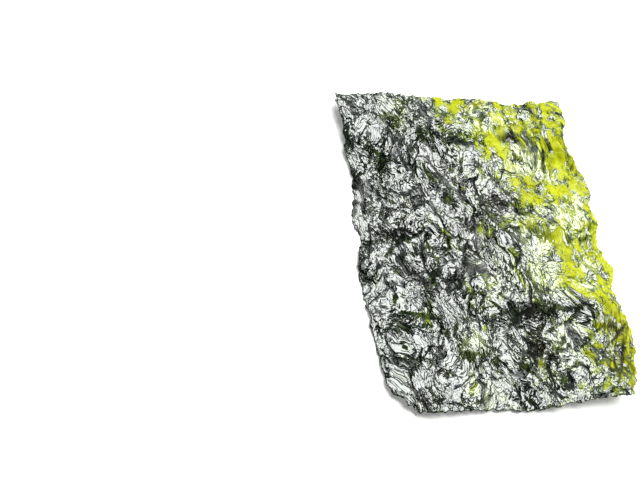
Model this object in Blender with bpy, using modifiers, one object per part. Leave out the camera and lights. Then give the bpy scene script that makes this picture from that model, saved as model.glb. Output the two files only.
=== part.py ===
"""A seasoned laver (nori) sheet: one crisp, crumpled leaf about 70 x 93 mm and 0.3 mm thick.

The leaf lies on the XY plane, shown side up: X runs along its short side, Y along its long side
and Z up. The origin is under the middle of the leaf, on the surface it lies on.

It is one open grid, shaped by a few formulas and given its thickness by Solidify: the ragged
outline moves the grid's rim, and the height adds up an arch, curled corners, a wavy thin margin on
the right, puffed pillows, facets like those of crumpled foil, flat pads between them and folds
where one side lies lower. The lowest spots are pressed flat at Z = 0.
"""

import bmesh
import bpy
import numpy as np

MM = 0.001

# Driving dimensions.
SHEET_WIDTH = 68.0 * MM
SHEET_LENGTH = 92.0 * MM
THICKNESS = 0.3 * MM
COLUMNS = 44
ROWS = 60

# The rim: lobes as (place along the edge, how far the edge stands out, half length).
RIGHT_LOBES = (
    (42.0 * MM, -0.6 * MM, 4.0 * MM),
    (32.0 * MM, -2.9 * MM, 5.0 * MM),
    (17.0 * MM, 2.4 * MM, 6.0 * MM),
    (6.5 * MM, 1.8 * MM, 3.2 * MM),
    (-8.0 * MM, 3.0 * MM, 4.4 * MM),
    (-28.0 * MM, 2.6 * MM, 7.5 * MM),
    (-46.0 * MM, -3.8 * MM, 5.0 * MM),
)
LEFT_LOBES = (
    (-8.0 * MM, 1.5 * MM, 22.0 * MM),
    (2.5 * MM, -2.0 * MM, 3.2 * MM),
    (20.0 * MM, -1.9 * MM, 8.0 * MM),
    (36.0 * MM, -0.9 * MM, 6.0 * MM),
)
TOP_LOBES = (
    (21.0 * MM, -2.4 * MM, 12.0 * MM),
    (-22.0 * MM, 0.4 * MM, 7.0 * MM),
)
BOTTOM_LOBES = (
    (27.0 * MM, -0.8 * MM, 9.0 * MM),
    (4.0 * MM, 0.7 * MM, 6.0 * MM),
)
RIM_REACH = 7.0 * MM
TORN_PITCH = 3.4 * MM
TORN_DEPTH = 0.55 * MM
WORN_CORNER_DEPTH = 4.2 * MM
WORN_CORNER_RADIUS = 4.6 * MM

# Folds as (x, y of the middle, half length, half width, turn in degrees, drop across): one side
# of each lies lower than the other. Lengths are in millimetres.
FOLDS = (
    (-16.5, 38.0, 5.0, 2.5, 60.0, 0.56),
    (-5.0, 33.5, 8.5, 3.2, -18.0, 0.68),
    (-12.0, 32.0, 4.0, 2.5, 80.0, 0.43),
    (-24.0, 24.0, 4.5, 1.9, -80.0, 0.37),
    (-9.5, 22.0, 9.0, 3.2, -62.0, -0.68),
    (-5.3, 12.5, 4.5, 2.0, -72.0, -0.37),
    (-1.5, 5.5, 4.0, 2.1, 60.0, 0.43),
    (8.5, 13.5, 4.5, 2.8, 0.0, 0.56),
    (-22.0, 4.2, 13.0, 2.2, 4.0, 0.5),
    (-18.0, -9.5, 5.0, 3.0, -80.0, 0.62),
    (-30.0, -5.0, 5.0, 1.5, 80.0, 0.31),
    (-18.5, -19.0, 6.0, 2.5, -85.0, 0.5),
    (-28.0, -20.5, 8.0, 2.5, 0.0, 0.5),
    (13.0, -20.8, 17.0, 3.2, 2.0, 0.68),
    (8.8, -26.0, 9.0, 2.8, 82.0, -0.62),
    (-11.0, -32.0, 3.0, 2.0, 0.0, 0.37),
    (-12.5, -38.5, 4.5, 2.2, 75.0, 0.43),
    (-20.5, -34.5, 2.0, 1.2, -30.0, 0.25),
    (26.0, 38.0, 8.0, 1.9, 88.0, 0.31),
)
FOLD_BEND_PITCH = 7.0 * MM
FOLD_BEND = 2.2 * MM
FOLD_END = 1.5

# Pads as (x, y of the middle, half length, half width, turn in degrees): flatter places.
PADS = (
    (-23.0, 41.0, 6.0, 3.5, 10.0),
    (-8.0, 39.0, 3.5, 2.5, 0.0),
    (5.5, 25.0, 5.0, 3.5, -50.0),
    (-9.0, 9.5, 7.5, 2.3, -60.0),
    (-31.0, 13.0, 8.0, 2.6, 80.0),
    (-27.0, -11.0, 4.5, 3.2, 30.0),
    (-13.0, -17.5, 4.5, 2.6, -20.0),
    (-24.0, -27.5, 3.0, 2.6, 90.0),
    (-2.0, -30.5, 5.0, 2.2, -50.0),
    (-7.5, -41.0, 4.5, 1.8, 55.0),
    (-20.0, -38.5, 4.0, 2.5, 0.0),
    (15.5, -6.0, 8.0, 4.0, 90.0),
    (1.0, -10.5, 5.0, 3.0, 90.0),
    (13.0, -27.0, 3.0, 2.0, 40.0),
    (25.5, 13.0, 6.0, 2.5, 80.0),
    (20.0, -43.0, 3.0, 1.5, 0.0),
)
PAD_FLATTENS = 0.85

# The leaf's overall form.
ARCH_RISE = 2.4 * MM
MARGIN_START = 12.0 * MM
MARGIN_WAVE = 1.4 * MM
MARGIN_WAVE_LENGTH = 27.0 * MM
CURLED_CORNERS = (
    (-1.0, 1.0, 3.0 * MM),
    (1.0, -1.0, 3.4 * MM),
    (1.0, 1.0, 2.6 * MM),
    (-1.0, -1.0, 1.4 * MM),
)
CURL_RADIUS = 20.0 * MM
RESTING_SHARE = 0.04

# Pillows and facets.
PILLOW_PITCH = 15.0 * MM
PILLOW_HEIGHT = 1.1 * MM
DIMPLE_PITCH = 7.0 * MM
DIMPLE_HEIGHT = 0.5 * MM
WANDER_PITCH = 17.0 * MM
WANDER = 2.2 * MM
FACET_PITCH = 6.5 * MM
FACET_RISE = 0.9 * MM
STREAK_TURN = np.radians(-55.0)
STREAK_STRETCH = 1.7
WARP_SHARE = 0.45
WARP_PITCHES = 1.6

# Draws for the noise patterns.
LATTICE = 64
FACET_LATTICE = 256
WANDER_SEEDS = (3, 4)
PILLOW_SEED = 11
DIMPLE_SEED = 23
FACET_SEED = 61
WARP_SEEDS = (71, 72)
TORN_SEED = 5

LEAF_GREEN = (0.018, 0.030, 0.012, 1.0)
LEAF_ROUGHNESS = 0.3


def noise(x, y, pitch, seed):
    """Gradient noise, about -1 to 1: at each lattice point a random slope, eased between points."""
    angle = np.random.default_rng(seed).uniform(0.0, 2.0 * np.pi, (LATTICE, LATTICE))
    column, across = np.divmod(x / pitch, 1.0)
    row, along = np.divmod(y / pitch, 1.0)
    column = column.astype(int)
    row = row.astype(int)

    def slope_from(right, up):
        turn = angle[(row + up) % LATTICE, (column + right) % LATTICE]
        return np.cos(turn) * (across - right) + np.sin(turn) * (along - up)

    ease_x = across**3 * (across * (6.0 * across - 15.0) + 10.0)
    ease_y = along**3 * (along * (6.0 * along - 15.0) + 10.0)
    lower = slope_from(0, 0) * (1.0 - ease_x) + slope_from(1, 0) * ease_x
    upper = slope_from(0, 1) * (1.0 - ease_x) + slope_from(1, 1) * ease_x
    return 1.5 * (lower * (1.0 - ease_y) + upper * ease_y)


def facets(x, y, pitch, seed):
    """Crumpled foil, -1 to 1: random heights on a triangular lattice, joined by flat triangles."""
    heights = np.random.default_rng(seed).uniform(-1.0, 1.0, (FACET_LATTICE, FACET_LATTICE))
    slant_row = y / (pitch * np.sqrt(0.75))
    slant_column = x / pitch - 0.5 * slant_row
    column, across = np.divmod(slant_column, 1.0)
    row, along = np.divmod(slant_row, 1.0)
    column = column.astype(int)
    row = row.astype(int)

    def height_at(right, up):
        return heights[(row + up) % FACET_LATTICE, (column + right) % FACET_LATTICE]

    near = height_at(0, 0)
    far = height_at(1, 1)
    right = height_at(1, 0)
    above = height_at(0, 1)
    lower = near + (right - near) * across + (above - near) * along
    upper = far + (above - far) * (1.0 - across) + (right - far) * (1.0 - along)
    return np.where(across + along < 1.0, lower, upper)


def lobes(place, shapes):
    """The sum of the rim's lobes at a place along the edge, each a bell curve."""
    return sum(reach * np.exp(-(((place - middle) / half) ** 2)) for middle, reach, half in shapes)


def outline(x, y):
    """Moves the rectangle's points to the ragged outline: each edge goes out by its lobes and a
    torn fringe, which fade inwards, and the lower left corner is drawn in towards the middle."""
    half_width = SHEET_WIDTH / 2
    half_length = SHEET_LENGTH / 2
    torn = TORN_DEPTH * noise(x + y, x - y, TORN_PITCH, TORN_SEED)
    right = (lobes(y, RIGHT_LOBES) + torn) * np.exp((x - half_width) / RIM_REACH)
    left = (lobes(y, LEFT_LOBES) + torn) * np.exp((-x - half_width) / RIM_REACH)
    top = (lobes(x, TOP_LOBES) + torn) * np.exp((y - half_length) / RIM_REACH)
    bottom = (lobes(x, BOTTOM_LOBES) + torn) * np.exp((-y - half_length) / RIM_REACH)
    corner_distance = np.hypot(x + half_width, y + half_length)
    worn = WORN_CORNER_DEPTH * np.exp(-((corner_distance / WORN_CORNER_RADIUS) ** 2))
    return x + right - left + worn, y + top - bottom + 0.6 * worn


def turned(x, y, middle_x, middle_y, half_length, half_width, turn):
    """A place along and across a shape, in its half lengths and half widths. The shape's middle
    and sizes are in millimetres and its turn is in degrees."""
    cosine = np.cos(np.radians(turn))
    sine = np.sin(np.radians(turn))
    from_x = x / MM - middle_x
    from_y = y / MM - middle_y
    along = (from_x * cosine + from_y * sine) / half_length
    across = (from_y * cosine - from_x * sine) / half_width
    return along, across


def bell(x, y, *shape):
    """A bell curve over a turned ellipse."""
    along, across = turned(x, y, *shape)
    return np.exp(-(along**2) - across**2)


def fold(x, y, *shape, drop):
    """The leaf drops evenly across the fold's width and comes back at half that slope on either
    side, between sharp creases, and this fades out towards the fold's ends."""
    along, across = turned(x, y, *shape)
    beyond = np.clip(0.5 * (np.abs(across) - 1.0), 0.0, 1.0)
    tent = np.sign(across) * (np.clip(np.abs(across), 0.0, 1.0) - beyond)
    return drop * MM * tent * np.clip(FOLD_END - np.abs(along), 0.0, 1.0)


def crumple(x, y, pitch, rise, seed):
    """Facets that are longer along the leaf's streaks, on a lattice bent by noise."""
    along = (x * np.cos(STREAK_TURN) + y * np.sin(STREAK_TURN)) / STREAK_STRETCH
    across = y * np.cos(STREAK_TURN) - x * np.sin(STREAK_TURN)
    warp = WARP_SHARE * pitch
    warp_pitch = WARP_PITCHES * pitch
    bent_along = along + warp * noise(along, across, warp_pitch, WARP_SEEDS[0])
    bent_across = across + warp * noise(along, across, warp_pitch, WARP_SEEDS[1])
    return rise * facets(bent_along, bent_across, pitch, seed)


def height(x, y):
    """The leaf's underside: an arch, curled corners, a wavy margin and folds, and, flatter in the
    pads, facets and pillows that wander a little. A pillow layer is the absolute value of noise,
    which leaves sharp valleys between puffed cells. All is lowered until the lowest spots would
    sink in, and those are pressed flat."""
    half_width = SHEET_WIDTH / 2
    half_length = SHEET_LENGTH / 2
    relief = ARCH_RISE * (1.0 - (x / half_width) ** 2) * (1.0 - 0.5 * (y / half_length) ** 2)
    for side, end, lift in CURLED_CORNERS:
        distance = np.hypot(x - side * half_width, y - end * half_length)
        relief += lift * np.exp(-((distance / CURL_RADIUS) ** 2))
    margin = np.clip((x - MARGIN_START) / (half_width - MARGIN_START), 0.0, 1.0)
    relief += MARGIN_WAVE * margin * np.sin(2.0 * np.pi * y / MARGIN_WAVE_LENGTH)

    bent_x = x + WANDER * noise(x, y, WANDER_PITCH, WANDER_SEEDS[0])
    bent_y = y + WANDER * noise(x, y, WANDER_PITCH, WANDER_SEEDS[1])
    puffed = PILLOW_HEIGHT * np.abs(noise(bent_x, bent_y, PILLOW_PITCH, PILLOW_SEED))
    puffed += DIMPLE_HEIGHT * np.abs(noise(bent_x, bent_y, DIMPLE_PITCH, DIMPLE_SEED))
    puffed += crumple(x, y, FACET_PITCH, FACET_RISE, FACET_SEED)
    pads = np.clip(sum(bell(x, y, *shape) for shape in PADS), 0.0, 1.0)
    relief += puffed * (1.0 - PAD_FLATTENS * pads)

    bent_x = x + FOLD_BEND * noise(x, y, FOLD_BEND_PITCH, WANDER_SEEDS[0])
    bent_y = y + FOLD_BEND * noise(x, y, FOLD_BEND_PITCH, WANDER_SEEDS[1])
    for *shape, drop in FOLDS:
        relief += fold(bent_x, bent_y, *shape, drop=drop)
    return np.maximum(relief - np.quantile(relief, RESTING_SHARE), 0.0)


def leaf_material():
    """Roasted, oiled laver: a green that is nearly black, under a gloss."""
    material = bpy.data.materials.new("oiled_laver")
    material.use_nodes = True
    shader = material.node_tree.nodes["Principled BSDF"]
    shader.inputs["Base Color"].default_value = LEAF_GREEN
    shader.inputs["Roughness"].default_value = LEAF_ROUGHNESS
    shader.inputs["Metallic"].default_value = 0.0
    return material


def leaf_mesh():
    """A grid over the rectangle, moved to the outline and the height and centred, and split into
    triangles before it gets its thickness, so that both faces are split alike."""
    grid = bmesh.new()
    bmesh.ops.create_grid(grid, x_segments=COLUMNS, y_segments=ROWS, size=1.0)
    places = np.array([vertex.co[:2] for vertex in grid.verts])
    flat_x = places[:, 0] * SHEET_WIDTH / 2
    flat_y = places[:, 1] * SHEET_LENGTH / 2
    x, y = outline(flat_x, flat_y)
    x -= (x.min() + x.max()) / 2
    y -= (y.min() + y.max()) / 2
    for vertex, place in zip(grid.verts, zip(x, y, height(flat_x, flat_y))):
        vertex.co = place
    bmesh.ops.triangulate(grid, faces=grid.faces, quad_method="SHORT_EDGE")
    mesh = bpy.data.meshes.new("nori_sheet")
    grid.to_mesh(mesh)
    grid.free()
    mesh.shade_smooth()
    return mesh


def main():
    for thing in list(bpy.data.objects):
        bpy.data.objects.remove(thing, do_unlink=True)
    collection = bpy.data.collections.new("nori sheet")
    bpy.context.scene.collection.children.link(collection)

    leaf = bpy.data.objects.new("nori_sheet", leaf_mesh())
    leaf.data.materials.append(leaf_material())
    collection.objects.link(leaf)
    shell = leaf.modifiers.new("thickness", "SOLIDIFY")
    shell.thickness = THICKNESS
    shell.offset = 1.0


main()
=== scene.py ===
"""A snack sheet of roasted, oiled laver (nori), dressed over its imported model.

The leaf is one piece, "leaf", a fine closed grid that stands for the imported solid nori_sheet. Its
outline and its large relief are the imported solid's own formulas. On them come foil-like crumples
and maps of how thin, oily, crushed, milky and brown the leaf is, which the material reads.
"""

import bpy
import numpy as np
from mathutils import Matrix, Vector


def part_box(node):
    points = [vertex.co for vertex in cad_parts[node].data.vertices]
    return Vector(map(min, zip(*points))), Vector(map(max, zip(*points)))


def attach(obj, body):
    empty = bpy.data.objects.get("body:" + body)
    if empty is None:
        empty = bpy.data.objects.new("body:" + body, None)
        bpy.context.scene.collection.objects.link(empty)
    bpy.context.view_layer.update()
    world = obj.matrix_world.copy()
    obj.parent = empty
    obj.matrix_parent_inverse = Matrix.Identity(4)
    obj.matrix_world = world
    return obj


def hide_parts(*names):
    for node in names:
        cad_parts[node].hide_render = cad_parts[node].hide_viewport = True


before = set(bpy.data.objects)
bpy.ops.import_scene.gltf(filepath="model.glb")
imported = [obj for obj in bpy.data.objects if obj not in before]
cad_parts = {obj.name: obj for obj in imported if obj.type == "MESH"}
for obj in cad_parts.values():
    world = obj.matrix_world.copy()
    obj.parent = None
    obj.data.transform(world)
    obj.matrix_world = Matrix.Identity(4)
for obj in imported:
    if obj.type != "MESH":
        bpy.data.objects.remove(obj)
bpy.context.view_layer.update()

MM = 0.001

# ---------------------------------------------------------------- sizes

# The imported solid's own form.
SHEET_WIDTH = 68.0 * MM
SHEET_LENGTH = 92.0 * MM
THICKNESS = 0.3 * MM
HALF_WIDTH = SHEET_WIDTH / 2
HALF_LENGTH = SHEET_LENGTH / 2

# The rim: lobes as (place along the edge, how far the edge stands out, half length).
RIGHT_LOBES = (
    (42.0 * MM, -0.6 * MM, 4.0 * MM),
    (32.0 * MM, -2.9 * MM, 5.0 * MM),
    (17.0 * MM, 2.4 * MM, 6.0 * MM),
    (6.5 * MM, 1.8 * MM, 3.2 * MM),
    (-8.0 * MM, 3.0 * MM, 4.4 * MM),
    (-28.0 * MM, 2.6 * MM, 7.5 * MM),
    (-46.0 * MM, -3.8 * MM, 5.0 * MM),
)
LEFT_LOBES = (
    (-8.0 * MM, 1.5 * MM, 22.0 * MM),
    (2.5 * MM, -2.0 * MM, 3.2 * MM),
    (20.0 * MM, -1.9 * MM, 8.0 * MM),
    (36.0 * MM, -0.9 * MM, 6.0 * MM),
)
TOP_LOBES = (
    (21.0 * MM, -2.4 * MM, 12.0 * MM),
    (-22.0 * MM, 0.4 * MM, 7.0 * MM),
)
BOTTOM_LOBES = (
    (27.0 * MM, -0.8 * MM, 9.0 * MM),
    (4.0 * MM, 0.7 * MM, 6.0 * MM),
)
# How far inwards the rim's shape is still felt, and its torn edge.
RIM_REACH = 7.0 * MM
TORN_PITCH = 3.4 * MM
TORN_DEPTH = 0.55 * MM
# The lower left corner is drawn in by its depth along x and by a share of that along y.
WORN_CORNER_DEPTH = 4.2 * MM
WORN_CORNER_SHARE = 0.6
WORN_CORNER_RADIUS = 4.6 * MM

# Folds as (x, y of the middle, half length, half width, turn in degrees, drop across): one side
# of each lies lower than the other. Lengths are in millimetres.
FOLDS = (
    (-16.5, 38.0, 5.0, 2.5, 60.0, 0.56),
    (-5.0, 33.5, 8.5, 3.2, -18.0, 0.68),
    (-12.0, 32.0, 4.0, 2.5, 80.0, 0.43),
    (-24.0, 24.0, 4.5, 1.9, -80.0, 0.37),
    (-9.5, 22.0, 9.0, 3.2, -62.0, -0.68),
    (-5.3, 12.5, 4.5, 2.0, -72.0, -0.37),
    (-1.5, 5.5, 4.0, 2.1, 60.0, 0.43),
    (8.5, 13.5, 4.5, 2.8, 0.0, 0.56),
    (-22.0, 4.2, 13.0, 2.2, 4.0, 0.5),
    (-18.0, -9.5, 5.0, 3.0, -80.0, 0.62),
    (-30.0, -5.0, 5.0, 1.5, 80.0, 0.31),
    (-18.5, -19.0, 6.0, 2.5, -85.0, 0.5),
    (-28.0, -20.5, 8.0, 2.5, 0.0, 0.5),
    (13.0, -20.8, 17.0, 3.2, 2.0, 0.68),
    (8.8, -26.0, 9.0, 2.8, 82.0, -0.62),
    (-11.0, -32.0, 3.0, 2.0, 0.0, 0.37),
    (-12.5, -38.5, 4.5, 2.2, 75.0, 0.43),
    (-20.5, -34.5, 2.0, 1.2, -30.0, 0.25),
    (26.0, 38.0, 8.0, 1.9, 88.0, 0.31),
)
# Pads as (x, y of the middle, half length, half width, turn in degrees): flatter places.
PADS = (
    (-23.0, 41.0, 6.0, 3.5, 10.0),
    (-8.0, 39.0, 3.5, 2.5, 0.0),
    (5.5, 25.0, 5.0, 3.5, -50.0),
    (-9.0, 9.5, 7.5, 2.3, -60.0),
    (-31.0, 13.0, 8.0, 2.6, 80.0),
    (-27.0, -11.0, 4.5, 3.2, 30.0),
    (-13.0, -17.5, 4.5, 2.6, -20.0),
    (-24.0, -27.5, 3.0, 2.6, 90.0),
    (-2.0, -30.5, 5.0, 2.2, -50.0),
    (-7.5, -41.0, 4.5, 1.8, 55.0),
    (-20.0, -38.5, 4.0, 2.5, 0.0),
    (15.5, -6.0, 8.0, 4.0, 90.0),
    (1.0, -10.5, 5.0, 3.0, 90.0),
    (13.0, -27.0, 3.0, 2.0, 40.0),
    (25.5, 13.0, 6.0, 2.5, 80.0),
    (20.0, -43.0, 3.0, 1.5, 0.0),
)
PAD_FLATTENS = 0.85
# A fold wanders with a noise. Its sides come back at a share of its own slope, and it fades out
# over the last half length before its end, which is given in half lengths.
FOLD_BEND_PITCH = 7.0 * MM
FOLD_BEND = 2.2 * MM
FOLD_RETURN = 0.5
FOLD_END = 1.5

# The arch, lower by a share at its two ends, the wavy margin and the corners that curl up, as
# (side, end, lift). The lowest share of the leaf is pressed flat on what it lies on.
ARCH_RISE = 2.4 * MM
ARCH_SINKS = 0.5
MARGIN_START = 12.0 * MM
MARGIN_WAVE = 1.4 * MM
MARGIN_WAVE_LENGTH = 27.0 * MM
CURLED_CORNERS = (
    (-1.0, 1.0, 3.0 * MM),
    (1.0, -1.0, 3.4 * MM),
    (1.0, 1.0, 2.6 * MM),
    (-1.0, -1.0, 1.4 * MM),
)
CURL_RADIUS = 20.0 * MM
RESTING_SHARE = 0.04

# Pillows and dimples, which wander, and facets, which are longer along the streaks.
PILLOW_PITCH = 15.0 * MM
PILLOW_HEIGHT = 1.1 * MM
DIMPLE_PITCH = 7.0 * MM
DIMPLE_HEIGHT = 0.5 * MM
WANDER_PITCH = 17.0 * MM
WANDER = 2.2 * MM
FACET_PITCH = 6.5 * MM
FACET_RISE = 0.9 * MM
STREAK_TURN = np.radians(-55.0)
STREAK_STRETCH = 1.7
# A noise bends the facets' lattice, by a share of their pitch and at a few times that pitch.
WARP_SHARE = 0.45
WARP_PITCHES = 1.6

# What only the fine grid shows: facets as (pitch, rise, seed), wrinkles as (pitch, depth, width as
# a share of the noise that draws them, seed), more flat places beside the pads, which calm both by
# a share, and the rim's fringe.
COLUMNS = 184
ROWS = 250
CRUMPLES = (
    (2.6 * MM, 0.10 * MM, 62),
    (1.4 * MM, 0.05 * MM, 63),
    (0.85 * MM, 0.03 * MM, 64),
)
WRINKLES = (
    (6.0 * MM, 0.42 * MM, 0.20, 65),
    (3.0 * MM, 0.18 * MM, 0.22, 66),
)
FLAT_PITCH = 7.0 * MM
FLAT_CONTRAST = 1.8
FLAT_SHARE = 0.7
FLAT_CALMS = 0.5
FRINGE_PITCH = 1.1 * MM
FRINGE_DEPTH = 0.35 * MM
# Where a wrinkle would sink into the floor, the leaf is thinner by up to this share.
PRESSED_SHARE = 0.6

# The patterns' lattices: how many random draws each side has before it repeats, how far apart the
# rows of equal triangles lie, what brings the noise to about -1 to 1, and the seeds.
LATTICE = 64
FACET_LATTICE = 256
LATTICE_ROW = np.sqrt(0.75)
NOISE_GAIN = 1.5
WANDER_SEEDS = (3, 4)
PILLOW_SEED = 11
DIMPLE_SEED = 23
TORN_SEED = 5
FRINGE_SEED = 6
FACET_SEED = 61
FLAT_SEED = 91
WARP_SEEDS = (71, 72)
THIN_SEEDS = (81, 82)
PATCH_SEEDS = (83, 82)
BORDER_SEED = 83

# Where the leaf is thin: the margin's wandering border as (y, x) in millimetres, and patches as
# (x, y, half length, half width, turn in degrees, amount), negative where thicker.
BORDER = (
    (-50.0, 30.0), (-40.0, 29.0), (-28.0, 28.0), (-19.0, 25.0), (-15.0, 19.0), (-12.0, 12.0),
    (-4.0, 10.0), (5.0, 11.0), (10.0, 14.0), (14.0, 10.5), (22.0, 10.5), (28.0, 6.0),
    (34.0, 1.0), (40.0, -4.0), (50.0, -8.0),
)
BORDER_WIDTH = 8.0
BORDER_WANDER_PITCH = 8.0 * MM
BORDER_WANDER = 5.0
# Thinness at the left edge, what each half width to the right adds, and what the margin adds.
THICK_PART = 0.16
THINS_RIGHTWARDS = 0.07
MARGIN_THINS = 0.42
# Noises that bend the thin patches, and the others.
THIN_BEND_PITCH = 5.0 * MM
THIN_BEND = 1.6 * MM
PATCH_BEND_PITCH = 4.0 * MM
PATCH_BEND = 1.2 * MM
THIN_PATCHES = (
    (13.0, 42.0, 4.0, 1.5, 90.0, 0.42),
    (28.5, 37.0, 9.0, 2.0, 90.0, 0.6),
    (29.0, 20.0, 8.0, 2.0, 85.0, 0.48),
    (8.5, 30.0, 7.0, 2.6, 75.0, 0.25),
    (12.0, 29.0, 4.5, 2.0, 30.0, 0.25),
    (17.0, 36.5, 3.0, 1.2, 0.0, 0.42),
    (13.0, 35.0, 9.0, 4.5, 20.0, 0.2),
    (16.0, 15.5, 4.5, 3.2, -20.0, 0.54),
    (25.0, 17.5, 2.5, 2.0, 0.0, 0.42),
    (32.0, 19.0, 3.0, 2.5, -40.0, 0.42),
    (16.0, 6.5, 2.5, 1.8, 0.0, 0.48),
    (22.5, -7.5, 5.5, 2.2, 90.0, 0.72),
    (27.8, -1.0, 3.0, 1.2, 90.0, 0.48),
    (33.5, -3.0, 10.0, 1.4, 88.0, 0.48),
    (22.0, -13.5, 3.0, 1.8, -30.0, 0.42),
    (31.0, -21.0, 5.5, 2.6, -75.0, 0.72),
    (33.0, -36.0, 8.0, 1.6, 92.0, 0.6),
    (-3.5, 45.5, 1.6, 1.0, 90.0, 0.6),
    (2.0, 43.0, 3.0, 1.4, 90.0, 0.54),
    (22.5, 1.5, 2.2, 1.4, 70.0, 0.54),
    (-10.0, 2.5, 4.0, 1.8, -40.0, 0.3),
    (-6.0, -14.5, 5.0, 1.8, -70.0, 0.22),
    (-1.0, -18.0, 3.0, 1.2, 0.0, 0.22),
    (-6.0, -24.0, 1.8, 1.2, 60.0, 0.5),
    (7.5, -35.5, 2.8, 1.5, 80.0, 0.48),
    (-12.5, -39.5, 4.5, 1.8, 75.0, 0.3),
    (-4.5, -43.0, 2.5, 1.5, 30.0, 0.3),
    (-18.8, -19.5, 5.0, 1.4, 88.0, 0.2),
    (-16.5, 38.0, 4.5, 1.3, 60.0, 0.26),
    (20.0, -34.0, 8.0, 5.0, 60.0, 0.14),
    (15.0, -42.5, 4.0, 1.5, 20.0, 0.2),
    (25.0, -42.0, 3.0, 2.0, 60.0, 0.2),
    (0.5, 3.5, 2.0, 1.2, -40.0, 0.36),
    (9.0, 13.5, 4.0, 1.8, 0.0, -0.42),
    (15.5, 32.5, 2.5, 1.5, 0.0, -0.36),
    (21.5, 42.0, 5.0, 1.2, 75.0, -0.42),
    (26.0, 38.5, 7.5, 0.9, 88.0, -0.36),
    (13.0, -20.5, 15.0, 2.0, 2.0, -0.24),
)
# Where it is brown, as (x, y, half length, half width, turn).
BROWN_PATCHES = (
    (9.0, 13.5, 4.5, 2.2, 0.0),
    (8.5, -27.0, 9.0, 2.2, 82.0),
    (14.5, 32.5, 2.5, 1.5, 0.0),
    (-10.0, 26.0, 5.0, 2.0, -62.0),
)
# Where the crumple is tight and mirrors little light, as (x, y, half length, half width, turn).
DARK_PATCHES = (
    (-16.5, -10.0, 4.0, 2.0, 85.0),
    (-19.0, -19.5, 6.0, 2.0, 85.0),
    (5.0, -21.0, 7.0, 2.8, 0.0),
    (18.0, -19.8, 9.0, 1.4, 0.0),
    (11.5, -18.5, 4.0, 2.0, -60.0),
    (8.0, -30.0, 4.0, 2.6, 80.0),
    (-11.5, -32.0, 4.0, 1.8, -10.0),
    (-7.0, 12.5, 5.0, 2.0, -75.0),
    (-12.0, 21.0, 5.0, 3.0, -60.0),
    (-24.5, 25.0, 4.5, 1.5, 90.0),
    (-34.5, 21.0, 7.0, 2.0, 90.0),
    (-33.0, 32.5, 5.0, 3.0, -60.0),
    (-17.5, 37.5, 4.5, 2.0, 60.0),
    (-11.0, 34.0, 4.0, 1.8, 80.0),
    (-4.0, 33.0, 8.0, 2.5, -10.0),
    (-22.0, 2.5, 5.0, 1.5, 0.0),
    (-12.0, -1.0, 8.0, 1.3, 0.0),
    (8.0, -5.0, 8.0, 1.8, 75.0),
    (12.0, 12.0, 7.0, 2.0, 0.0),
    (12.0, 32.5, 8.0, 2.2, 0.0),
    (25.0, 37.0, 6.0, 1.0, 88.0),
    (24.0, 27.5, 3.5, 1.2, 60.0),
    (-31.0, 1.5, 5.0, 1.2, 5.0),
    (-30.0, -6.5, 3.5, 1.0, 80.0),
    (-13.0, 43.5, 3.5, 2.5, 60.0),
    (-27.0, -22.0, 7.0, 2.0, 0.0),
)
# Where the leaf is paler and milky.
PALE_PATCHES = (
    (15.5, -4.0, 11.0, 4.5, 87.0),
    (18.5, 25.5, 5.0, 4.0, 0.0),
    (23.5, 20.5, 3.0, 1.5, 0.0),
    (29.5, 11.0, 4.5, 2.2, 80.0),
    (26.5, 4.5, 4.5, 2.4, 60.0),
    (16.5, 38.5, 3.5, 2.5, 0.0),
    (24.5, -12.5, 3.0, 1.3, 0.0),
    (-1.0, -10.5, 6.0, 4.0, 80.0),
    (-8.0, -42.0, 4.0, 2.5, 60.0),
    (-18.5, 41.0, 4.0, 2.5, 70.0),
    (8.0, 40.0, 4.5, 3.0, 80.0),
    (16.0, -28.0, 4.0, 2.5, 20.0),
    (28.5, -7.5, 3.5, 2.0, 90.0),
    (21.5, 8.5, 3.5, 2.0, 20.0),
    (-9.0, -28.0, 4.0, 3.0, 60.0),
)
# Single dark strands, brown and dry, and where the leaf is drawn out into many fine ones.
STRANDS = (
    (29.5, -28.5, 6.5, 0.4, 46.0),
    (31.4, -31.0, 4.0, 0.45, 79.0),
    (32.8, -37.3, 3.2, 0.5, 100.0),
    (28.8, -36.0, 2.6, 0.4, 85.0),
    (29.4, -38.2, 4.2, 0.45, 65.0),
    (26.9, -37.6, 3.4, 0.4, 97.0),
)
STRAND_PATCHES = (
    (30.0, -36.0, 11.0, 3.6, 85.0),
    (29.0, -27.0, 5.0, 3.0, 50.0),
)

# How far the oil covers the leaf: well over all of it, less the dark patches and the strands.
OIL_COVER = 1.5
DARK_DRIES = 1.4
STRANDS_DRY = 1.2
# How strongly the fine creases crush the leaf: less in the pads, where it is pale, and where it is
# thin, from one thinness on and over a range of it, and more in the dark patches.
CRUSHED = 0.88
PADS_CALM = 0.75
PALE_CALMS = 0.6
THIN_CALMS = 0.45
THIN_CALMS_FROM = 0.35
THIN_CALMS_OVER = 0.35
DARK_CRUSHES = 0.3
LEAST_CRUSHED = 0.3
MOST_CRUSHED = 1.4
# How crisp the strands' edges are, and how brown they are inside.
STRANDS_CRISP = 1.7
STRANDS_BROWN = 0.95

# ---------------------------------------------------------------- shape


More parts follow.
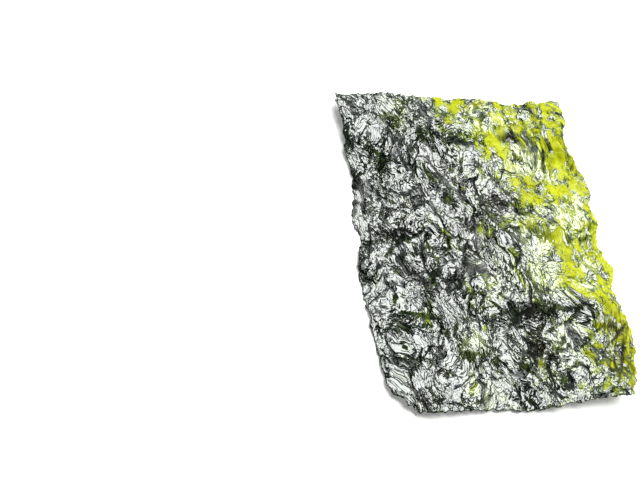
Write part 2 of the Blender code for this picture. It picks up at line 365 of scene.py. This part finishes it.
def noise(x, y, pitch, seed):
    """Gradient noise, about -1 to 1: at each lattice point a random slope, eased between points by
    the quintic 6t^5 - 15t^4 + 10t^3."""
    angle = np.random.default_rng(seed).uniform(0.0, 2.0 * np.pi, (LATTICE, LATTICE))
    column, across = np.divmod(x / pitch, 1.0)
    row, along = np.divmod(y / pitch, 1.0)
    column = column.astype(int)
    row = row.astype(int)

    def slope_from(right, up):
        """The rise at the place, on the slope of the lattice point right and up from it."""
        turn = angle[(row + up) % LATTICE, (column + right) % LATTICE]
        return np.cos(turn) * (across - right) + np.sin(turn) * (along - up)

    ease_x = across**3 * (across * (6.0 * across - 15.0) + 10.0)
    ease_y = along**3 * (along * (6.0 * along - 15.0) + 10.0)
    lower = slope_from(0, 0) * (1.0 - ease_x) + slope_from(1, 0) * ease_x
    upper = slope_from(0, 1) * (1.0 - ease_x) + slope_from(1, 1) * ease_x
    return NOISE_GAIN * (lower * (1.0 - ease_y) + upper * ease_y)


def facets(x, y, pitch, seed):
    """Crumpled foil, -1 to 1: random heights on a lattice of equal triangles, joined by flat ones.
    Each of its rows is set off by half a pitch."""
    heights = np.random.default_rng(seed).uniform(-1.0, 1.0, (FACET_LATTICE, FACET_LATTICE))
    slant_row = y / (pitch * LATTICE_ROW)
    slant_column = x / pitch - 0.5 * slant_row
    column, across = np.divmod(slant_column, 1.0)
    row, along = np.divmod(slant_row, 1.0)
    column = column.astype(int)
    row = row.astype(int)

    def height_at(right, up):
        """The height of the lattice point right and up from the place."""
        return heights[(row + up) % FACET_LATTICE, (column + right) % FACET_LATTICE]

    near = height_at(0, 0)
    far = height_at(1, 1)
    right = height_at(1, 0)
    above = height_at(0, 1)
    lower = near + (right - near) * across + (above - near) * along
    upper = far + (above - far) * (1.0 - across) + (right - far) * (1.0 - along)
    return np.where(across + along < 1.0, lower, upper)


def lobes(place, shapes):
    """The sum of the rim's lobes at a place along the edge, each a bell curve."""
    return sum(reach * np.exp(-(((place - middle) / half) ** 2)) for middle, reach, half in shapes)


def outline(x, y):
    """Moves the rectangle's points to the ragged outline: each edge goes out by its lobes, a torn
    edge and a finer fringe, which fade inwards, and the lower left corner is drawn in."""
    torn = TORN_DEPTH * noise(x + y, x - y, TORN_PITCH, TORN_SEED)
    torn += FRINGE_DEPTH * noise(x + y, x - y, FRINGE_PITCH, FRINGE_SEED)
    right = (lobes(y, RIGHT_LOBES) + torn) * np.exp((x - HALF_WIDTH) / RIM_REACH)
    left = (lobes(y, LEFT_LOBES) + torn) * np.exp((-x - HALF_WIDTH) / RIM_REACH)
    top = (lobes(x, TOP_LOBES) + torn) * np.exp((y - HALF_LENGTH) / RIM_REACH)
    bottom = (lobes(x, BOTTOM_LOBES) + torn) * np.exp((-y - HALF_LENGTH) / RIM_REACH)
    corner_distance = np.hypot(x + HALF_WIDTH, y + HALF_LENGTH)
    worn = WORN_CORNER_DEPTH * np.exp(-((corner_distance / WORN_CORNER_RADIUS) ** 2))
    return x + right - left + worn, y + top - bottom + WORN_CORNER_SHARE * worn


def bent(x, y, pitch, reach, seeds):
    """The place, moved along x and along y by up to about reach by two noises of one pitch."""
    return x + reach * noise(x, y, pitch, seeds[0]), y + reach * noise(x, y, pitch, seeds[1])


def turned(x, y, middle_x, middle_y, half_length, half_width, turn):
    """A place along and across a shape, in its half lengths and half widths. The shape's middle
    and sizes are in millimetres and its turn is in degrees."""
    cosine = np.cos(np.radians(turn))
    sine = np.sin(np.radians(turn))
    from_x = x / MM - middle_x
    from_y = y / MM - middle_y
    along = (from_x * cosine + from_y * sine) / half_length
    across = (from_y * cosine - from_x * sine) / half_width
    return along, across


def bell(x, y, *shape):
    """A bell curve over a turned ellipse."""
    along, across = turned(x, y, *shape)
    return np.exp(-(along**2) - across**2)


def covered(x, y, shapes):
    """The sum of bell curves over turned ellipses, at most 1."""
    return np.clip(sum(bell(x, y, *shape) for shape in shapes), 0.0, 1.0)


def fold(x, y, *shape, drop):
    """The leaf drops evenly across the fold's width and comes back at a share of that slope on
    either side, between sharp creases, and this fades out towards the fold's ends."""
    along, across = turned(x, y, *shape)
    beyond = np.clip(FOLD_RETURN * (np.abs(across) - 1.0), 0.0, 1.0)
    tent = np.sign(across) * (np.clip(np.abs(across), 0.0, 1.0) - beyond)
    return drop * MM * tent * np.clip(FOLD_END - np.abs(along), 0.0, 1.0)


def crumple(x, y, pitch, rise, seed):
    """Facets that are longer along the leaf's streaks, on a lattice bent by noise."""
    along = (x * np.cos(STREAK_TURN) + y * np.sin(STREAK_TURN)) / STREAK_STRETCH
    across = y * np.cos(STREAK_TURN) - x * np.sin(STREAK_TURN)
    place = bent(along, across, WARP_PITCHES * pitch, WARP_SHARE * pitch, WARP_SEEDS)
    return rise * facets(*place, pitch, seed)


def large_relief(x, y):
    """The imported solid's underside: an arch, curled corners, a wavy margin and folds, and, flatter
    in the pads, facets and pillows that wander a little. A pillow layer is the absolute value of
    noise. All is lowered until the lowest spots would sink in, and those are pressed flat."""
    over_width = 1.0 - (x / HALF_WIDTH) ** 2
    over_length = 1.0 - ARCH_SINKS * (y / HALF_LENGTH) ** 2
    relief = ARCH_RISE * over_width * over_length
    for side, end, lift in CURLED_CORNERS:
        distance = np.hypot(x - side * HALF_WIDTH, y - end * HALF_LENGTH)
        relief += lift * np.exp(-((distance / CURL_RADIUS) ** 2))
    margin = np.clip((x - MARGIN_START) / (HALF_WIDTH - MARGIN_START), 0.0, 1.0)
    relief += MARGIN_WAVE * margin * np.sin(2.0 * np.pi * y / MARGIN_WAVE_LENGTH)

    place = bent(x, y, WANDER_PITCH, WANDER, WANDER_SEEDS)
    puffed = PILLOW_HEIGHT * np.abs(noise(*place, PILLOW_PITCH, PILLOW_SEED))
    puffed += DIMPLE_HEIGHT * np.abs(noise(*place, DIMPLE_PITCH, DIMPLE_SEED))
    puffed += crumple(x, y, FACET_PITCH, FACET_RISE, FACET_SEED)
    relief += puffed * (1.0 - PAD_FLATTENS * covered(x, y, PADS))

    place = bent(x, y, FOLD_BEND_PITCH, FOLD_BEND, WANDER_SEEDS)
    for *shape, drop in FOLDS:
        relief += fold(*place, *shape, drop=drop)
    return np.maximum(relief - np.quantile(relief, RESTING_SHARE), 0.0)


def flatness(x, y):
    """How flat the fine crumple is, 0 to 1: the pads, with wandering edges, and more such places
    where a noise is above its middle."""
    place = bent(x, y, PATCH_BEND_PITCH, PATCH_BEND, WARP_SEEDS)
    more = np.clip(0.5 + FLAT_CONTRAST * noise(*place, FLAT_PITCH, FLAT_SEED), 0.0, 1.0)
    return np.clip(covered(*place, PADS) + FLAT_SHARE * more, 0.0, 1.0)


def fine_relief(x, y):
    """Small facets, and wrinkles that fall off like an exponential on either side of the lines
    where a noise is zero, less their mean. Both are calmer where the leaf is flat."""
    along = (x * np.cos(PATTERN_TURN) + y * np.sin(PATTERN_TURN)) / PATTERN_STRETCH
    across = y * np.cos(PATTERN_TURN) - x * np.sin(PATTERN_TURN)
    total = sum(crumple(x, y, *layer) for layer in CRUMPLES)
    for pitch, depth, width, seed in WRINKLES:
        total -= depth * np.exp(-np.abs(noise(along, across, pitch, seed)) / width)
    total -= total.mean()
    return total * (1.0 - FLAT_CALMS * flatness(x, y))


def thinness(x, y):
    """How thin the leaf is, 0 to 1: a little thinner to the right, a soft step (a hyperbolic
    tangent) at the margin's wandering border, and patches with wandering edges."""
    bent_x, bent_y = bent(x, y, THIN_BEND_PITCH, THIN_BEND, THIN_SEEDS)
    border = np.interp(bent_y / MM, *np.transpose(BORDER))
    border += BORDER_WANDER * noise(x, y, BORDER_WANDER_PITCH, BORDER_SEED)
    step = 0.5 + 0.5 * np.tanh((bent_x / MM - border) / BORDER_WIDTH)
    thin = THICK_PART + THINS_RIGHTWARDS * (x / HALF_WIDTH + 1.0) + MARGIN_THINS * step
    for *shape, amount in THIN_PATCHES:
        thin += amount * bell(bent_x, bent_y, *shape)
    return np.clip(thin, 0.0, 1.0)


def leaf_maps(x, y):
    """What the material reads, by name, each a sum of the patches and of the flat and thin places:
    how thin the leaf is, how much oil lies on it, how crushed, milky and brown it is, and where
    drawn-out strands show. The single strands are cut off at 1, which gives them crisp edges."""
    thin = thinness(x, y)
    place = bent(x, y, PATCH_BEND_PITCH, PATCH_BEND, PATCH_SEEDS)
    dark = covered(*place, DARK_PATCHES)
    calm = THIN_CALMS * np.clip((thin - THIN_CALMS_FROM) / THIN_CALMS_OVER, 0.0, 1.0)
    pale = covered(*place, PALE_PATCHES)
    calm = np.maximum(calm, PALE_CALMS * pale)
    crush = (CRUSHED - PADS_CALM * flatness(x, y)) * (1.0 - calm) + DARK_CRUSHES * dark
    drawn = np.clip(STRANDS_CRISP * covered(x, y, STRANDS), 0.0, 1.0)
    return {
        "thin": thin,
        "oil": np.clip(OIL_COVER - DARK_DRIES * dark - STRANDS_DRY * drawn, 0.0, 1.0),
        "crush": np.clip(crush, LEAST_CRUSHED, MOST_CRUSHED),
        "pale": pale,
        "brown": np.maximum(covered(x, y, BROWN_PATCHES), STRANDS_BROWN * drawn),
        "strands": covered(x, y, STRAND_PATCHES),
    }


def leaf_mesh():
    """Two grids, the upper one THICKNESS above the lower, joined round the rim by a strip. Its maps
    are attributes of its points."""
    u, v = np.meshgrid(np.linspace(-1.0, 1.0, COLUMNS + 1), np.linspace(-1.0, 1.0, ROWS + 1))
    flat_x = u.ravel() * HALF_WIDTH
    flat_y = v.ravel() * HALF_LENGTH
    x, y = outline(flat_x, flat_y)
    low, high = (np.array(corner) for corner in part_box("nori_sheet"))
    x += (low[0] + high[0] - x.min() - x.max()) / 2
    y += (low[1] + high[1] - y.min() - y.max()) / 2
    under = large_relief(flat_x, flat_y) + fine_relief(flat_x, flat_y)
    lower = np.maximum(under, 0.0)
    upper = np.maximum(under, -PRESSED_SHARE * THICKNESS) + THICKNESS

    points = np.concatenate([np.stack([x, y, upper], 1), np.stack([x, y, lower], 1)])
    index = np.arange(u.size).reshape(u.shape)
    quads = np.stack([index[:-1, :-1], index[:-1, 1:], index[1:, 1:], index[1:, :-1]], -1)
    quads = quads.reshape(-1, 4)
    rim = np.concatenate([index[0, :-1], index[:-1, -1], index[-1, :0:-1], index[:0:-1, 0]])
    ahead = np.roll(rim, -1)
    strip = np.stack([rim, rim + u.size, ahead + u.size, ahead], -1)
    faces = np.concatenate([quads, quads[:, ::-1] + u.size, strip])

    mesh = bpy.data.meshes.new("leaf")
    mesh.from_pydata(points.tolist(), [], faces.tolist())
    for name, values in leaf_maps(flat_x, flat_y).items():
        attribute = mesh.attributes.new(name, "FLOAT", "POINT")
        attribute.data.foreach_set("value", np.tile(values, 2).astype(np.float32))
    mesh.shade_smooth()
    return mesh


# ---------------------------------------------------------------- materials

# The fine pattern's own axes: its streaks run along the leaf. Pattern sizes below are millimetres.
PATTERN_TURN = np.radians(-78.0)
PATTERN_STRETCH = 1.35
# Patterns have their middle at a half, and noise changes by about that much over its pitch.
MIDDLE = 0.5
MIDDLE_GREY = (MIDDLE, MIDDLE, MIDDLE)
NOISE_STEEPNESS = 0.5
# How much fine detail the noises have.
SMOOTH = {"Detail": 1.0, "Roughness": 0.5}
CRINKLY = {"Detail": 1.5, "Roughness": 0.5}
GRAINY = {"Detail": 3.0, "Roughness": 0.6}
MOTTLED = {"Detail": 6.0, "Roughness": 0.7}
# Smooth bends and then sharp breaks of the pattern, as (pitch, reach).
BENDS = ((17.0, 9.0), (3.5, 1.7))
BREAKS = ((3.4, 2.4), (1.5, 0.9))
# Flat tilted flakes as (pitch, slope), and smaller flecks that come in zones.
FLAKES = ((3.6, 0.20), (1.7, 0.10))
FLECK_PITCH = 0.6
FLECK_SLOPE = 0.8
FLECK_ZONES = 4.0
FLECK_EDGES = (0.56, 0.64)
# Nets of creases as (pitch, half width, depth). Along a crease the tone is darkened by painted
# shade, less so per thinness of the leaf, and the crease sheds the oil.
CREASES = ((12.0, 0.75, 0.6), (4.5, 0.24, 0.26), (2.2, 0.12, 0.13), (1.2, 0.085, 0.095))
CREASE_PAINTED_SHADE = -0.65
CREASE_PAINTED_SHADE_THIN = 0.45
CREASE_DRIES = -0.9

# The tone is thinness with blotches, whose reach is (per thinness, least). Scaled down, it is the
# place on a ramp of greens.
BLOTCH_PITCH = 2.8
BLOTCH_REACH = (4.2, 0.5)
TONE_TO_RAMP = 0.8
# The ramp's yellow-greens are partly the thin leaf's own paler colour and partly painted light
# shining through the thin leaf.
GREENS_AND_SHINE_THROUGH = (
    (0.0, "#070F06"),
    (0.144, "#102008"),
    (0.288, "#32400C"),
    (0.44, "#5C6804"),
    (0.6, "#7E8602"),
    (0.8, "#9CA002"),
    (1.0, "#C6C00C"),
)
# Over the greens: milky blisters, broken up by the blotches, brown places and drawn-out strands.
MILKY_COLOUR = "#7A8648"
MILKY_CONTRAST = 4.0
MILKY_SHARE = 0.6
BROWN_COLOUR = "#1D1710"
BROWN_SHARE = 0.8
STRAND_COLOUR = "#2A2410"
STRAND_TURN = np.radians(74.0)
STRAND_LENGTH = 9.0
STRAND_WIDTH = 0.8
STRAND_EDGES = (0.52, 0.60)
STRAND_SHARE = 0.95

# The oil film: it beads in spots and runs off the thinnest, brightest places.
OIL_PITCH = 0.8
OIL_GAIN = 2.2
OIL_CONTRAST = 7.0
OIL_LEVEL = -0.6
BARE_EDGES = (0.42, 0.85)
BARE_SHARE = 0.95
OIL_ROUGHNESS = 0.03
# Real oil has an index of 1.47. Brighter here, as the film and the wet leaf under it mirror alike.
OIL_INDEX = 2.0
# The dry leaf under the oil.
LEAF_ROUGHNESS = 0.42
LEAF_INDEX = 1.4
LEAF_SPECULAR = 0.1

# The card that the leaf lies on.
CARD_COLOUR = "#F2F2F0"
CARD_ROUGHNESS = 0.9
CARD_SPECULAR = 0.1
CARD_GLOW = 0.3


def srgb(code):
    """A hex colour as linear red, green, blue and alpha, by the sRGB curve."""
    parts = np.array([int(code[i : i + 2], 16) for i in (1, 3, 5)]) / 255.0
    linear = np.where(parts <= 0.04045, parts / 12.92, ((parts + 0.055) / 1.055) ** 2.4)
    return (*linear.tolist(), 1.0)


def add(tree, kind, inputs, stops=(), **properties):
    """Adds a node. Its inputs go by socket name or number, and each is a value, a socket or a node,
    which stands for its first output. Stops are a colour ramp's, as (place, hex colour)."""
    node = tree.nodes.new(kind)
    for name, value in properties.items():
        setattr(node, name, value)
    for name, value in inputs.items():
        if isinstance(value, bpy.types.Node):
            value = value.outputs[0]
        if isinstance(value, bpy.types.NodeSocket):
            tree.links.new(value, node.inputs[name])
        else:
            node.inputs[name].default_value = value
    for number, (place, code) in enumerate(stops):
        elements = node.color_ramp.elements
        element = elements[number] if number < 2 else elements.new(place)
        element.position = place
        element.color = srgb(code)
    return node


def moved(tree, place, colours, reach):
    """The place, shifted sideways by reach times a pattern's colour less its middle grey."""
    shift = add(tree, "ShaderNodeVectorMath", {0: colours, 1: MIDDLE_GREY}, operation="SUBTRACT")
    return add(
        tree,
        "ShaderNodeVectorMath",
        {0: shift, 1: (reach, reach, 0.0), 2: place},
        operation="MULTIPLY_ADD",
    )


def tilted_cells(tree, place, pitch):
    """Flakes, each tilted its own way: the way from the cell's middle times its random slope."""
    cell = add(
        tree,
        "ShaderNodeTexVoronoi",
        {"Vector": place, "Scale": 1.0 / pitch},
        voronoi_dimensions="2D",
    )
    from_middle = add(
        tree,
        "ShaderNodeVectorMath",
        {0: place, 1: cell.outputs["Position"]},
        operation="SUBTRACT",
    )
    slope = add(
        tree,
        "ShaderNodeVectorMath",
        {0: cell.outputs["Color"], 1: MIDDLE_GREY},
        operation="SUBTRACT",
    )
    return add(
        tree, "ShaderNodeVectorMath", {0: from_middle, 1: slope}, operation="DOT_PRODUCT"
    ).outputs["Value"]


def crease_lines(tree, place, pitch, half_width):
    """1 along the lines where a noise crosses its middle, 0 beyond about half_width from them."""
    wave = add(
        tree,
        "ShaderNodeTexNoise",
        {"Vector": place, "Scale": 1.0 / pitch, **CRINKLY},
        noise_dimensions="2D",
    ).outputs["Fac"]
    wave = add(tree, "ShaderNodeMath", {0: wave, 1: MIDDLE}, operation="SUBTRACT")
    wave = add(tree, "ShaderNodeMath", {0: wave}, operation="ABSOLUTE")
    edge = NOISE_STEEPNESS * half_width / pitch
    return add(
        tree,
        "ShaderNodeMapRange",
        {"Value": wave, "From Max": edge, "To Min": 1.0, "To Max": 0.0},
        interpolation_type="SMOOTHSTEP",
    )


def streak_places(tree, place):
    """Millimetres along and across the streaks, bent smoothly by noises, and the same then broken
    by cells."""
    smooth = add(
        tree,
        "ShaderNodeMapping",
        {
            "Vector": place,
            "Rotation": (0.0, 0.0, PATTERN_TURN),
            "Scale": (PATTERN_STRETCH * MM, MM, MM),
        },
        vector_type="TEXTURE",
    )
    streaks = smooth
    for pitch, reach in BENDS:
        warp = add(
            tree,
            "ShaderNodeTexNoise",
            {"Vector": streaks, "Scale": 1.0 / pitch, **SMOOTH},
            noise_dimensions="2D",
        )
        smooth = moved(tree, smooth, warp.outputs["Color"], reach)
    broken = smooth
    for pitch, reach in BREAKS:
        cells = add(
            tree,
            "ShaderNodeTexVoronoi",
            {"Vector": broken, "Scale": 1.0 / pitch},
            voronoi_dimensions="2D",
        )
        broken = moved(tree, broken, cells.outputs["Color"], reach)
    return smooth, broken


def foil_height(tree, smooth, broken):
    """The crumple's height in millimetres, the sum of flakes and of flecks in their zones less the
    creases, and the lines of all the creases."""
    height = 0.0
    for pitch, slope in FLAKES:
        rise = tilted_cells(tree, broken, pitch)
        height = add(
            tree, "ShaderNodeMath", {0: rise, 1: slope, 2: height}, operation="MULTIPLY_ADD"
        )
    zone = add(
        tree,
        "ShaderNodeTexNoise",
        {"Vector": smooth, "Scale": 1.0 / FLECK_ZONES, **GRAINY},
        noise_dimensions="2D",
    ).outputs["Fac"]
    zone = add(
        tree,
        "ShaderNodeMapRange",
        {
            "Value": zone,
            "From Min": FLECK_EDGES[0],
            "From Max": FLECK_EDGES[1],
            "To Max": FLECK_SLOPE,
        },
        interpolation_type="SMOOTHSTEP",
    )
    rise = tilted_cells(tree, broken, FLECK_PITCH)
    height = add(tree, "ShaderNodeMath", {0: rise, 1: zone, 2: height}, operation="MULTIPLY_ADD")
    lines = 0.0
    for pitch, half_width, depth in CREASES:
        line = crease_lines(tree, broken, pitch, half_width)
        height = add(
            tree, "ShaderNodeMath", {0: line, 1: -depth, 2: height}, operation="MULTIPLY_ADD"
        )
        lines = add(tree, "ShaderNodeMath", {0: lines, 1: line}, operation="MAXIMUM")
    return height, lines


def blotched(tree, smooth):
    """Blotches: a noise less its middle."""
    blotches = add(
        tree,
        "ShaderNodeTexNoise",
        {"Vector": smooth, "Scale": 1.0 / BLOTCH_PITCH, **MOTTLED},
        noise_dimensions="2D",
    ).outputs["Fac"]
    return add(tree, "ShaderNodeMath", {0: blotches, 1: MIDDLE}, operation="SUBTRACT")


def laver_tone(tree, blotches, lines, thin):
    """Thinness, blotched most where it is thin, and darkened by painted shade along the creases, 0
    to 1.
    """
    reach = add(
        tree,
        "ShaderNodeMath",
        {0: thin, 1: BLOTCH_REACH[0], 2: BLOTCH_REACH[1]},
        operation="MULTIPLY_ADD",
    )
    tone = add(
        tree, "ShaderNodeMath", {0: blotches, 1: reach, 2: thin}, operation="MULTIPLY_ADD"
    )
    # Painted shade along the creases: darker, less so where the leaf is thin.
    shade = add(
        tree,
        "ShaderNodeMath",
        {0: thin, 1: CREASE_PAINTED_SHADE_THIN, 2: CREASE_PAINTED_SHADE},
        operation="MULTIPLY_ADD",
    )
    return add(
        tree,
        "ShaderNodeMath",
        {0: lines, 1: shade, 2: tone},
        operation="MULTIPLY_ADD",
        use_clamp=True,
    )


def milkiness(tree, blotches, lines, pale):
    """How milky the leaf is, 0 to 1: its pale places, broken up by the blotches and by painted shade
    along the creases.
    """
    milky = add(
        tree,
        "ShaderNodeMath",
        {0: blotches, 1: MILKY_CONTRAST, 2: MILKY_SHARE},
        operation="MULTIPLY_ADD",
    )
    # Painted shade along the creases takes milkiness away.
    milky = add(
        tree, "ShaderNodeMath", {0: lines, 1: CREASE_PAINTED_SHADE, 2: milky}, operation="MULTIPLY_ADD"
    )
    return add(tree, "ShaderNodeMath", {0: milky, 1: pale}, operation="MULTIPLY", use_clamp=True)


def drawn_strands(tree, place, strands):
    """Fine strands where their map says so: a noise stretched along them, cut off at two levels."""
    drawn_out = add(
        tree,
        "ShaderNodeMapping",
        {
            "Vector": place,
            "Rotation": (0.0, 0.0, STRAND_TURN),
            "Scale": (STRAND_LENGTH * MM, STRAND_WIDTH * MM, MM),
        },
        vector_type="TEXTURE",
    )
    strand = add(
        tree,
        "ShaderNodeTexNoise",
        {"Vector": drawn_out, "Scale": 1.0, **SMOOTH},
        noise_dimensions="2D",
    ).outputs["Fac"]
    strand = add(
        tree,
        "ShaderNodeMapRange",
        {
            "Value": strand,
            "From Min": STRAND_EDGES[0],
            "From Max": STRAND_EDGES[1],
            "To Max": STRAND_SHARE,
        },
    )
    return add(tree, "ShaderNodeMath", {0: strand, 1: strands}, operation="MULTIPLY")


def oil_film(tree, broken, lines, brightness, cover):
    """How much oil lies on the leaf, 0 to 1: its map, beaded by a noise, less where the leaf is
    bright, and less in the creases."""
    beads = add(
        tree,
        "ShaderNodeTexNoise",
        {"Vector": broken, "Scale": 1.0 / OIL_PITCH, **GRAINY},
        noise_dimensions="2D",
    ).outputs["Fac"]
    beads = add(
        tree,
        "ShaderNodeMath",
        {0: beads, 1: OIL_CONTRAST, 2: OIL_LEVEL - MIDDLE * OIL_CONTRAST},
        operation="MULTIPLY_ADD",
    )
    oil = add(
        tree,
        "ShaderNodeMath",
        {0: cover, 1: OIL_GAIN, 2: beads},
        operation="MULTIPLY_ADD",
        use_clamp=True,
    )
    bare = add(
        tree,
        "ShaderNodeMapRange",
        {
            "Value": brightness,
            "From Min": BARE_EDGES[0],
            "From Max": BARE_EDGES[1],
            "To Max": BARE_SHARE,
        },
    )
    oil = add(tree, "ShaderNodeMath", {0: oil, 1: bare}, operation="SUBTRACT")
    return add(
        tree,
        "ShaderNodeMath",
        {0: lines, 1: CREASE_DRIES, 2: oil},
        operation="MULTIPLY_ADD",
        use_clamp=True,
    )


def oiled_laver():
    """Roasted laver brushed with oil: nearly black where it is thick, yellow-green where it is thin,
    partly its own paler colour and partly painted light shining through, milky in its pale places,
    under a film of oil that mirrors the lamp as broken silver."""
    material = bpy.data.materials.new("oiled_laver")
    material.use_nodes = True
    tree = material.node_tree
    tree.nodes.clear()
    place = add(tree, "ShaderNodeTexCoord", {}).outputs["Object"]
    maps = {
        name: add(tree, "ShaderNodeAttribute", {}, attribute_name=name).outputs["Fac"]
        for name in ("thin", "oil", "crush", "pale", "brown", "strands")
    }
    smooth, broken = streak_places(tree, place)
    height, lines = foil_height(tree, smooth, broken)
    height = add(tree, "ShaderNodeMath", {0: height, 1: maps["crush"]}, operation="MULTIPLY")
    bump = add(tree, "ShaderNodeBump", {"Strength": 1.0, "Distance": MM, "Height": height})

    # Colour: the ramp of greens over the tone, then the milky, the brown and the drawn-out places.
    blotches = blotched(tree, smooth)
    tone = laver_tone(tree, blotches, lines, maps["thin"])
    ramp = add(tree, "ShaderNodeMath", {0: tone, 1: TONE_TO_RAMP}, operation="MULTIPLY")
    # The ramp's yellow-greens are partly painted light shining through the thin leaf.
    colour = add(tree, "ShaderNodeValToRGB", {"Fac": ramp}, stops=GREENS_AND_SHINE_THROUGH).outputs["Color"]
    milky = milkiness(tree, blotches, lines, maps["pale"])
    browned = add(
        tree, "ShaderNodeMath", {0: maps["brown"], 1: BROWN_SHARE}, operation="MULTIPLY"
    )
    strand = drawn_strands(tree, place, maps["strands"])
    for share, code in ((milky, MILKY_COLOUR), (browned, BROWN_COLOUR), (strand, STRAND_COLOUR)):
        colour = add(
            tree,
            "ShaderNodeMixRGB",
            {"Fac": share, "Color1": colour, "Color2": srgb(code)},
        ).outputs["Color"]

    # The oil leaves the brightest places bare, apart from the milky ones.
    bright = add(tree, "ShaderNodeMath", {0: tone, 1: milky}, operation="SUBTRACT")
    oil = oil_film(tree, broken, lines, bright, maps["oil"])
    shader = add(
        tree,
        "ShaderNodeBsdfPrincipled",
        {
            "Base Color": colour,
            "Roughness": LEAF_ROUGHNESS,
            "IOR": LEAF_INDEX,
            "Specular IOR Level": LEAF_SPECULAR,
            "Coat Weight": oil,
            "Coat Roughness": OIL_ROUGHNESS,
            "Coat IOR": OIL_INDEX,
            "Normal": bump,
            "Coat Normal": bump,
        },
    )
    add(tree, "ShaderNodeOutputMaterial", {"Surface": shader})
    return material


def plain_floor():
    """Matt white card, lit a little from below as on a light table, so that shadows stay pale."""
    material = bpy.data.materials.new("white_card")
    material.use_nodes = True
    shader = material.node_tree.nodes["Principled BSDF"]
    shader.inputs["Base Color"].default_value = srgb(CARD_COLOUR)
    shader.inputs["Roughness"].default_value = CARD_ROUGHNESS
    shader.inputs["Specular IOR Level"].default_value = CARD_SPECULAR
    shader.inputs["Emission Color"].default_value = srgb(CARD_COLOUR)
    shader.inputs["Emission Strength"].default_value = CARD_GLOW
    return material


# ---------------------------------------------------------------- scene

# Metres. The gap keeps the leaf's flat spots clear of the floor.
FLOOR_SIZE = 4.0
FLOOR_GAP = 0.05 * MM

# The photograph's view of the leaf: the camera's place, the point it looks at and its roll.
CAMERA_PLACE = Vector((-153.8, -152.6, 303.4)) * MM
CAMERA_AIM = Vector((-44.92, 3.21, 0.0)) * MM
CAMERA_ROLL = np.radians(29.36)
CAMERA_LENS = 78.75
CAMERA_NEAR = 0.01
CAMERA_FAR = 20.0

# One large softbox opposite the camera, which the leaf's flat places mirror, and a dim room.
KEY_DIRECTION = Vector((0.40, 0.41, 0.82))
KEY_DISTANCE = 0.8
KEY_SIZE = 1.04
KEY_RADIANCE = 8.1
KEY_COLOUR = (0.967, 1.0, 0.98)
WORLD_COLOUR = (0.03, 0.03, 0.03, 1.0)


def aimed(place, aim, roll=0.0):
    """The matrix of something at place whose -Z points at aim, turned about it by roll."""
    turn = (aim - place).to_track_quat("-Z", "Y").to_matrix().to_4x4()
    return Matrix.Translation(place) @ turn @ Matrix.Rotation(roll, 4, "Z")


def add_camera():
    """The photograph's camera, which looks down on the leaf."""
    data = bpy.data.cameras.new("camera")
    data.lens = CAMERA_LENS
    data.clip_start = CAMERA_NEAR
    data.clip_end = CAMERA_FAR
    camera = bpy.data.objects.new("camera", data)
    camera.matrix_world = aimed(CAMERA_PLACE, CAMERA_AIM, CAMERA_ROLL)
    bpy.context.scene.collection.objects.link(camera)
    bpy.context.scene.camera = camera


def add_softbox():
    """A square lamp that faces the leaf. A lamp of radiance L and area A gives pi * L * A watts."""
    data = bpy.data.lights.new("softbox", "AREA")
    data.shape = "SQUARE"
    data.size = KEY_SIZE
    data.energy = np.pi * KEY_RADIANCE * KEY_SIZE**2
    data.color = KEY_COLOUR
    lamp = bpy.data.objects.new("softbox", data)
    place = KEY_DIRECTION.normalized() * KEY_DISTANCE
    lamp.matrix_world = aimed(place, Vector((0.0, 0.0, 0.0)))
    bpy.context.scene.collection.objects.link(lamp)


def add_floor():
    """A plain card just under the leaf."""
    bpy.ops.mesh.primitive_plane_add(size=FLOOR_SIZE, location=(0.0, 0.0, -FLOOR_GAP))
    floor = bpy.context.object
    floor.name = "floor"
    floor.data.materials.append(plain_floor())


def add_world():
    """The dim light of the room."""
    world = bpy.data.worlds.new("studio")
    world.use_nodes = True
    world.node_tree.nodes["Background"].inputs["Color"].default_value = WORLD_COLOUR
    bpy.context.scene.world = world


def add_leaf():
    """The leaf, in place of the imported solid."""
    leaf = bpy.data.objects.new("leaf", leaf_mesh())
    leaf.data.materials.append(oiled_laver())
    bpy.context.scene.collection.objects.link(leaf)
    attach(leaf, "root")
    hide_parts("nori_sheet")


add_camera()
add_floor()
add_world()
add_softbox()
add_leaf()
bpy.context.scene.view_settings.view_transform = "Standard"
bpy.context.view_layer.update()
